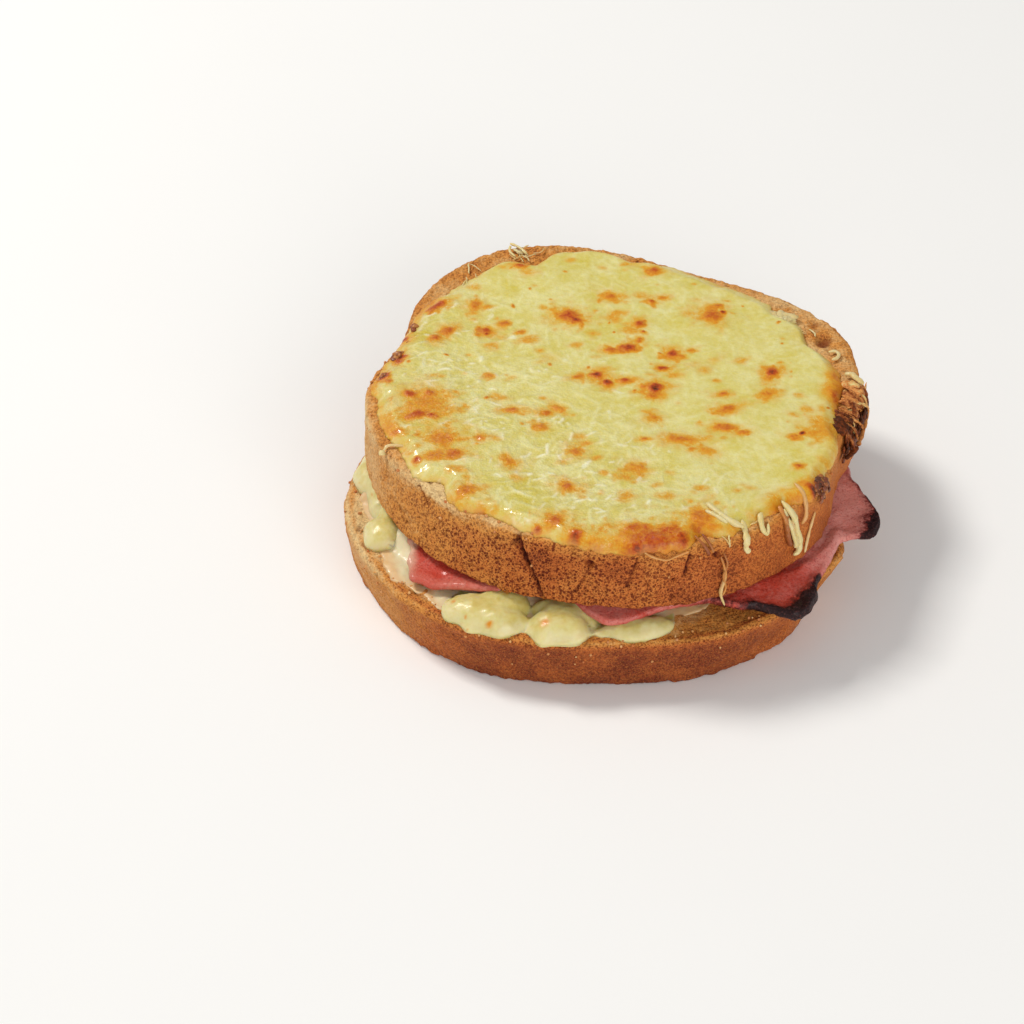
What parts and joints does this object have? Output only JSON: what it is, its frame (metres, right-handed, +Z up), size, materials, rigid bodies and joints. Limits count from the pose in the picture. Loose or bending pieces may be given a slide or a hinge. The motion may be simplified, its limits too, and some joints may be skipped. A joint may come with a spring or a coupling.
{
  "type": "croque monsieur",
  "caption": "Toasted sandwich of round-topped loaf slices with ham and melted cheese between them and browned grated cheese grilled over the top.",
  "frame": {"origin": "on the table, under the middle of the whole sandwich's box", "axes": "+Z up through the layers, -Y towards the rounded crown of the loaf slices, +Y towards their flat base, +X towards the burnt frill and the ham's charred lobes"},
  "size_m": [0.1336, 0.135, 0.0407],
  "materials": {
    "bread_crust_dark": "matte, fine-grained baked crust",
    "cheese_pale": "glossy melted cheese",
    "ham": "moist, satin",
    "bread_crust": "matte, pitted baked crust",
    "cheese_grilled": "glossy, browned in spots",
    "cheese_burnt": "dry, burnt"
  },
  "bodies": {
    "root": {"bread_bottom": "bread_crust_dark", "cheese_filling": "cheese_pale", "ham": "ham", "bread_top": "bread_crust", "cheese_top": "cheese_grilled", "cheese_crisp": "cheese_burnt"}
  },
  "joints": []
}
